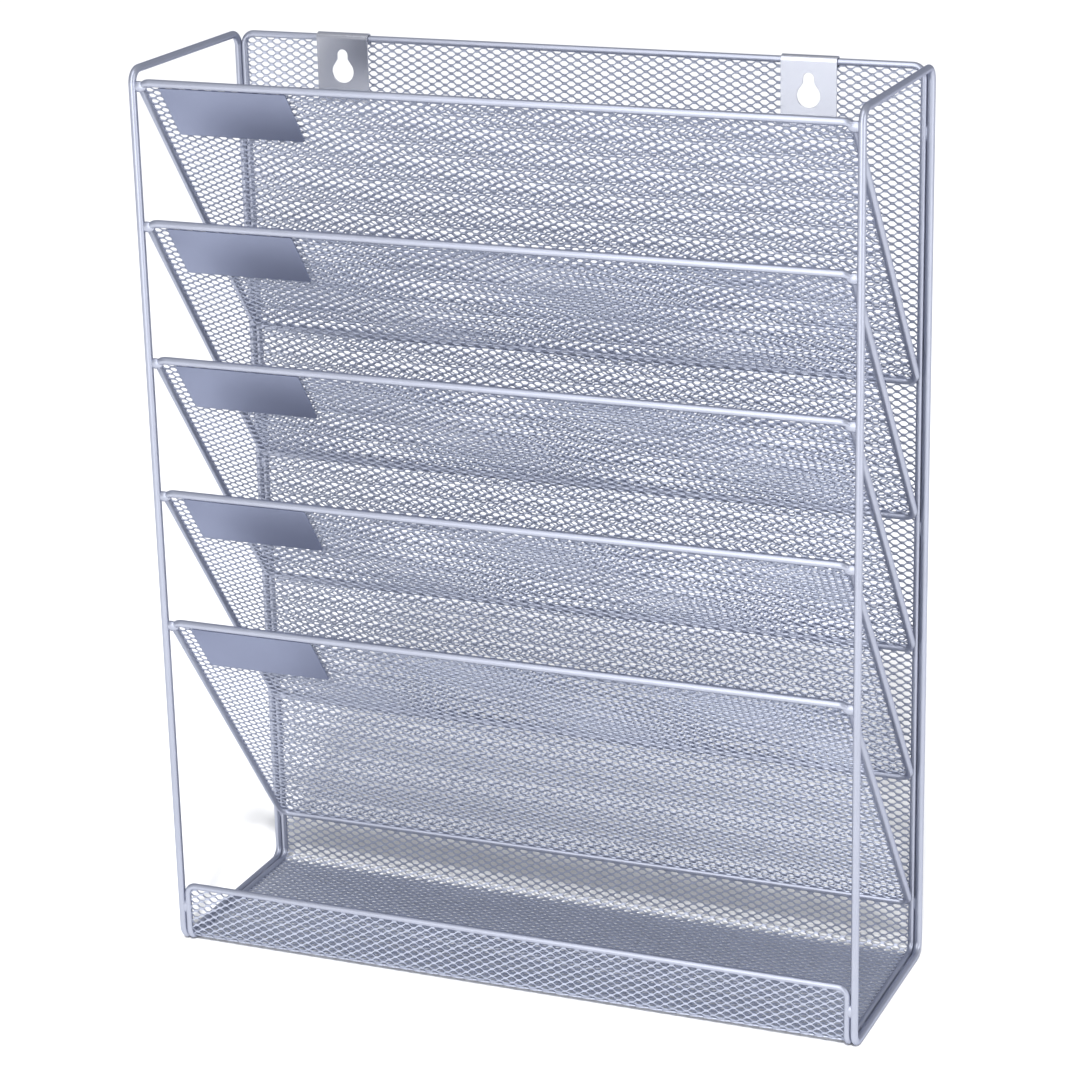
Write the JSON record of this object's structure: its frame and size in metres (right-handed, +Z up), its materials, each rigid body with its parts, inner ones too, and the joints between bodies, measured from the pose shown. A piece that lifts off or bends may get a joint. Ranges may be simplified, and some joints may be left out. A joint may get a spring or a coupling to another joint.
{
  "type": "wall literature holder",
  "caption": "Wall-hung document holder of bent wire and expanded metal: sloping pockets with blank label plates above an open tray, and keyhole plates at its top.",
  "frame": {"origin": "below the middle of the holder, at the centre of its bounding box, level with the underside of the side frames", "axes": "+X to the right across the holder as seen from the front, +Y towards the wall, +Z up"},
  "size_m": [0.3284, 0.1032, 0.4106],
  "materials": {
    "wire": "silver powder coat on drawn steel wire",
    "expanded_metal": "silver powder coat on expanded steel sheet",
    "label_plate": "silver powder coat on sheet steel",
    "hanger_plate": "silver powder coat on sheet steel"
  },
  "bodies": {
    "root": {"left_side_frame": "wire", "right_side_frame": "wire", "body_rim_wire": "wire", "body_mesh": "expanded_metal", "divider_1_frame": "wire", "divider_1_mesh": "expanded_metal", "label_plate_1": "label_plate", "divider_2_frame": "wire", "divider_2_mesh": "expanded_metal", "label_plate_2": "label_plate", "divider_3_frame": "wire", "divider_3_mesh": "expanded_metal", "label_plate_3": "label_plate", "divider_4_frame": "wire", "divider_4_mesh": "expanded_metal", "label_plate_4": "label_plate", "divider_5_frame": "wire", "divider_5_mesh": "expanded_metal", "label_plate_5": "label_plate", "left_hanger_plate": "hanger_plate", "right_hanger_plate": "hanger_plate"}
  },
  "joints": []
}
